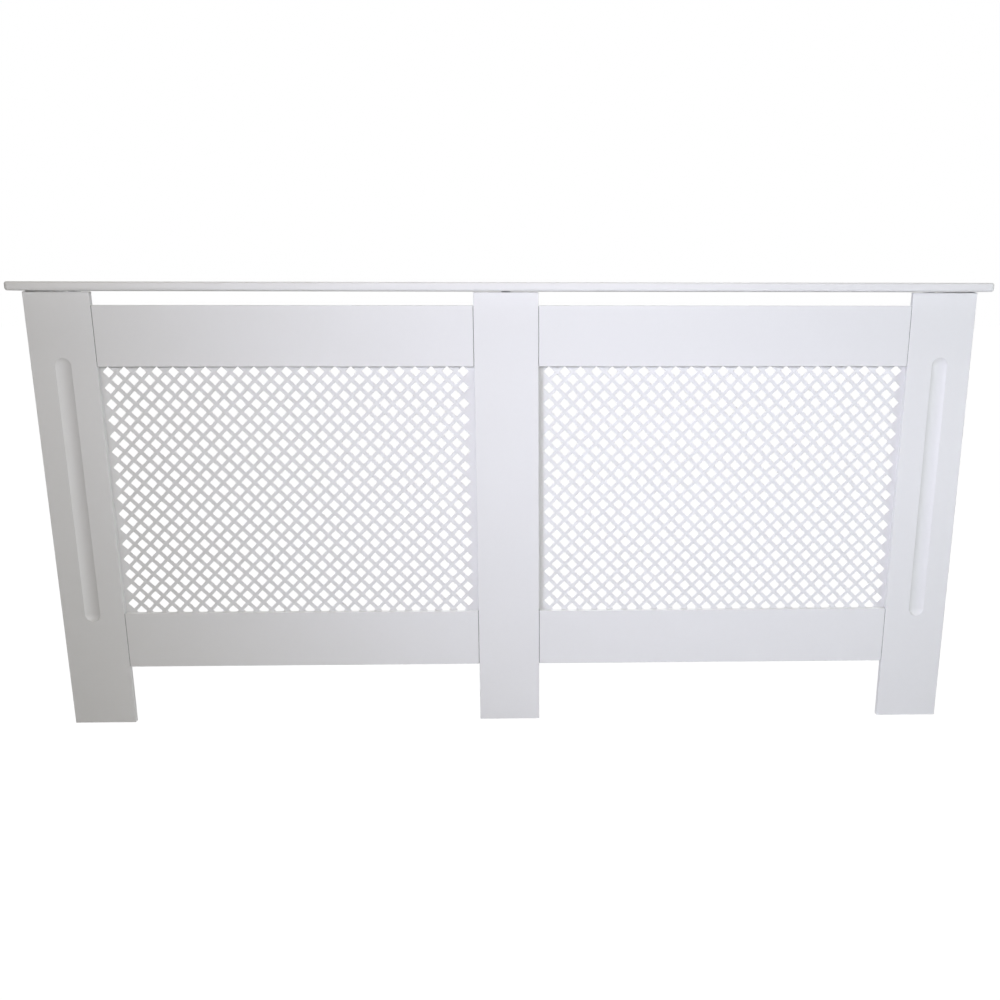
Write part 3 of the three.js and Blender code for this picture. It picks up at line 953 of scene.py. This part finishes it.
def makeLattice(side):
    node = f"lattice_{side}"
    low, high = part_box(node)
    sheet = makeField(lattice[side], low.y)
    nameIt(sheet, node + "_sheet")
    middle = ((low.x + high.x) / 2, low.y, (low.z + high.z) / 2)
    clearBench()
    bpy.ops.mesh.primitive_plane_add(size=1, location=middle, rotation=(math.pi / 2, 0, 0))
    outline = bpy.context.object
    outline.scale = (high.x - low.x, high.z - low.z, 1)
    fixPlace(outline)
    takeUp(outline)
    bpy.ops.object.mode_set(mode="EDIT")
    bpy.ops.mesh.select_all(action="SELECT")
    bpy.ops.mesh.delete(type="ONLY_FACE")
    takeUp(sheet)
    outline.select_set(True)
    bpy.ops.object.join()

    # the plain border fills the space between the field of diamonds and the sheet's outline
    bpy.ops.object.mode_set(mode="EDIT")
    bpy.ops.mesh.select_all(action="SELECT")
    bpy.ops.mesh.remove_doubles(threshold=lattice["weld"])
    bpy.ops.mesh.select_mode(type="EDGE")
    bpy.ops.mesh.select_all(action="DESELECT")
    bpy.ops.mesh.select_non_manifold(
        extend=False,
        use_wire=True,
        use_boundary=True,
        use_multi_face=False,
        use_non_contiguous=False,
        use_verts=False,
    )
    bpy.ops.mesh.fill(use_beauty=True)
    bpy.ops.mesh.select_mode(type="FACE")
    bpy.ops.mesh.select_all(action="SELECT")
    bpy.ops.mesh.normals_make_consistent(inside=False)
    border = bmesh.from_edit_mesh(sheet.data)
    border.faces.ensure_lookup_table()
    if border.faces[0].normal.y < 0:
        bpy.ops.mesh.flip_normals()
    bpy.ops.mesh.select_all(action="DESELECT")
    sheet.active_material_index = 1
    bpy.ops.object.material_slot_select()
    bpy.ops.mesh.delete(type="FACE")
    bpy.ops.mesh.select_all(action="SELECT")
    pushOut((0, lattice["straight"], 0))
    bpy.ops.mesh.inset(thickness=lattice["flare"], depth=high.y - low.y - lattice["straight"])
    clearBench()
    easeArrises(sheet, lattice["arris"], lattice["arrisSteps"], angle=lattice["arrisAngle"])
    fitTo(sheet, whiteSheet, "white_sheet", node)


makeLattice("left")
makeLattice("right")
print("lattice sheets punched")

# Fittings, each made once at the origin with its head up, and then copied to its places


slotOverrun = 0.001  # of the cutter, above the head


def crossCut(piece, top, length, width, depth):
    for turned in (False, True):
        x, y = (width, length) if turned else (length, width)
        low, high = (-x / 2, -y / 2, top - depth), (x / 2, y / 2, top + slotOverrun)
        cutAway(piece, sawBlock("slot", low, high))


panScrew = {
    "shank": 0.0015,
    "head": 0.0035,
    "headHeight": 0.0018,
    "headRound": 0.6,  # of the head's height
    "headSteps": 5,
    "sides": 32,
    "recessLength": 0.0034,
    "recessWidth": 0.0008,
    "recessDepth": 0.0011,
    "pitch": 0.0011,
    "root": 0.78,  # of the thread's radius
    "tip": 0.002,
    "point": 0.1,  # of the core's radius
    "smoothAngle": 35,
}


def makeScrew(length):
    head, height, sides = panScrew["head"], panScrew["headHeight"], panScrew["sides"]
    screw = turnRod("pan_screw", head, (0, 0, 0), (0, 0, height), sides)
    roundEdges(
        screw,
        height * panScrew["headRound"],
        panScrew["headSteps"],
        lambda a, b: near(a.z, height) and near(b.z, height),
    )
    crossCut(screw, height, panScrew["recessLength"], panScrew["recessWidth"], panScrew["recessDepth"])
    markFaces(screw, lambda centre, normal: normal.z < -facing and near(centre.z, 0))
    root, pitch, point = panScrew["root"], panScrew["pitch"], panScrew["point"]
    bpy.ops.mesh.inset(thickness=head - panScrew["shank"] * root)
    crests = int((length - panScrew["tip"]) / pitch)
    for crest in range(crests):
        pushOut((0, 0, -pitch / 2))
        bpy.ops.transform.resize(value=(1 / root, 1 / root, 1), center_override=(0, 0, 0))
        pushOut((0, 0, -pitch / 2))
        bpy.ops.transform.resize(value=(root, root, 1), center_override=(0, 0, 0))
    pushOut((0, 0, crests * pitch - length))
    bpy.ops.transform.resize(value=(point, point, 1), center_override=(0, 0, 0))
    smoothOver(screw, panScrew["smoothAngle"])
    return screw


camLock = {
    "radius": 0.006,
    "sides": 48,
    "rim": 0.0004,
    "rimSteps": 3,
    "rimWidth": 0.0007,
    "dish": 0.0003,
    "slotLength": 0.0072,
    "slotWidth": 0.0014,
    "slotDepth": 0.0016,
    "topFacing": 0.99,  # tells the flat top from the rim
    "smoothAngle": 35,
}


def makeCam(length):
    radius = camLock["radius"]
    cam = turnRod("cam_lock", radius, (0, 0, -length), (0, 0, 0), camLock["sides"])
    roundEdges(cam, camLock["rim"], camLock["rimSteps"], lambda a, b: near(a.z, 0) and near(b.z, 0))
    markFaces(cam, lambda centre, normal: normal.z > camLock["topFacing"] and near(centre.z, 0))
    bpy.ops.mesh.inset(thickness=camLock["rimWidth"])
    bpy.ops.mesh.inset(thickness=camLock["dish"] / 2, depth=-camLock["dish"])
    clearBench()
    crossCut(cam, -camLock["dish"], camLock["slotLength"], camLock["slotWidth"], camLock["slotDepth"])
    smoothOver(cam, camLock["smoothAngle"])
    return cam


angleBracket = {
    "leg": 0.025,
    "width": 0.016,
    "thickness": 0.002,
    "bend": 0.003,
    "bendSteps": 8,
    "innerBendSteps": 4,
    "holeFromBend": 0.016,
    "holeRadius": 0.00225,
    "holeSides": 32,
    "corner": 0.0035,
    "cornerSteps": 6,
    "edge": 0.0002,
    "edgeSteps": 2,
    "edgeAngle": 60,  # degrees
    "smoothAngle": 35,
}


# The bend lies at the origin: one leg runs along +Y, the other down.
def makeBracket():
    leg, half, thick = angleBracket["leg"], angleBracket["width"] / 2, angleBracket["thickness"]
    bracket = sawBlock("angle_bracket", (-half, 0, -thick), (half, thick, 0))
    markFaces(bracket, lambda centre, normal: normal.y > facing)
    pushOut((0, leg - thick, 0))
    markFaces(bracket, lambda centre, normal: normal.z < -facing and centre.y < thick)
    pushOut((0, 0, thick - leg))
    bend = angleBracket["bend"]
    roundEdges(
        bracket,
        bend,
        angleBracket["bendSteps"],
        lambda a, b: all(near(end.y, 0) and near(end.z, 0) for end in (a, b)),
    )
    roundEdges(
        bracket,
        bend - thick,
        angleBracket["innerBendSteps"],
        lambda a, b: all(near(end.y, thick) and near(end.z, -thick) for end in (a, b)),
    )

    def acrossTip(a, b):
        atTips = all(near(end.y, leg) for end in (a, b)) or all(near(end.z, -leg) for end in (a, b))
        return near(a.x, b.x) and atTips

    roundEdges(bracket, angleBracket["corner"], angleBracket["cornerSteps"], acrossTip)
    reach, radius = angleBracket["holeFromBend"], angleBracket["holeRadius"]
    sides = angleBracket["holeSides"]
    cutAway(bracket, turnRod("drill", radius, (0, reach, -2 * thick), (0, reach, thick), sides))
    cutAway(bracket, turnRod("drill", radius, (0, -thick, -reach), (0, 2 * thick, -reach), sides))
    easeArrises(bracket, angleBracket["edge"], angleBracket["edgeSteps"], angle=angleBracket["edgeAngle"])
    smoothOver(bracket, angleBracket["smoothAngle"])
    return bracket


# Copies a made fitting to its place. turn brings its up way to where the head faces.
def setFitting(master, name, place, turn, finish, slot, node):
    takeUp(master)
    bpy.ops.object.duplicate()
    copy = bpy.context.object
    nameIt(copy, name)
    copy.location = place
    copy.rotation_euler = turn.to_euler()
    fixPlace(copy)
    fitTo(copy, finish, slot, node)


upToBack = Matrix.Rotation(-math.pi / 2, 3, "X")
upToFloor = Matrix.Rotation(math.pi, 3, "X")
upToRight = Matrix.Rotation(math.pi / 2, 3, "Y")
upToLeft = Matrix.Rotation(-math.pi / 2, 3, "Y")
asMade = Matrix.Identity(3)
turnedAbout = Matrix.Rotation(math.pi, 3, "Z")


def middleOf(node):
    low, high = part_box(node)
    return (low + high) / 2


def setScrews(nodes, turn, alongY):
    low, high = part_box(nodes[0])
    size = high.y - low.y if alongY else high.z - low.z
    master = makeScrew(size - panScrew["headHeight"])
    for node in nodes:
        low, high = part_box(node)
        place = middleOf(node)
        if alongY:
            place.y = high.y - panScrew["headHeight"]
        else:
            place.z = low.z + panScrew["headHeight"]
        setFitting(master, node + "_part", place, turn, zincSteel, "zinc_steel", node)
    bpy.data.objects.remove(master)


sheetScrews = [
    f"lattice_screw_{side}_{row}_{end}"
    for side in ("left", "right")
    for row in ("top", "bottom")
    for end in ("outer", "inner")
]
shelfScrews = ["centre_bracket_screw_shelf", "wall_bracket_screw_left", "wall_bracket_screw_right"]
setScrews(sheetScrews, upToBack, True)
setScrews(["centre_bracket_screw_stile"], upToBack, True)
setScrews(shelfScrews, upToFloor, False)

camLow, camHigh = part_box("cam_left_lower")
camMaster = makeCam(camHigh.x - camLow.x)
for side, turn in (("left", upToRight), ("right", upToLeft)):
    for node in (f"cam_{side}_lower", f"cam_{side}_upper", f"shelf_cam_{side}"):
        low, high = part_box(node)
        place = middleOf(node)
        place.x = high.x if side == "left" else low.x
        setFitting(camMaster, node + "_part", place, turn, castZinc, "cast_zinc", node)
bpy.data.objects.remove(camMaster)

bracketTurns = {
    "centre_bracket": asMade,
    "wall_bracket_left": turnedAbout,
    "wall_bracket_right": turnedAbout,
}
bracketMaster = makeBracket()
for node, turn in bracketTurns.items():
    low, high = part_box(node)
    bend = low.y if turn is asMade else high.y
    place = (middleOf(node).x, bend, high.z)
    setFitting(bracketMaster, node + "_part", place, turn, zincSteel, "zinc_steel", node)
bpy.data.objects.remove(bracketMaster)
print("fittings set")


# What stays as it was packed gets its finish: dowels and cam bolts, which stand inside the boards
def refinish(node, finish):
    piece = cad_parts[node]
    piece.data.materials.clear()
    piece.data.materials.append(finish)


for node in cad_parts:
    if node.startswith("rail_dowel"):
        refinish(node, beechAlongX)
    elif node.startswith("stile_dowel"):
        refinish(node, beechAlongY)
    elif node.startswith("shelf_dowel"):
        refinish(node, beechAlongZ)
    elif "cam_bolt" in node:
        refinish(node, zincSteel)
print("dowels and bolts finished")
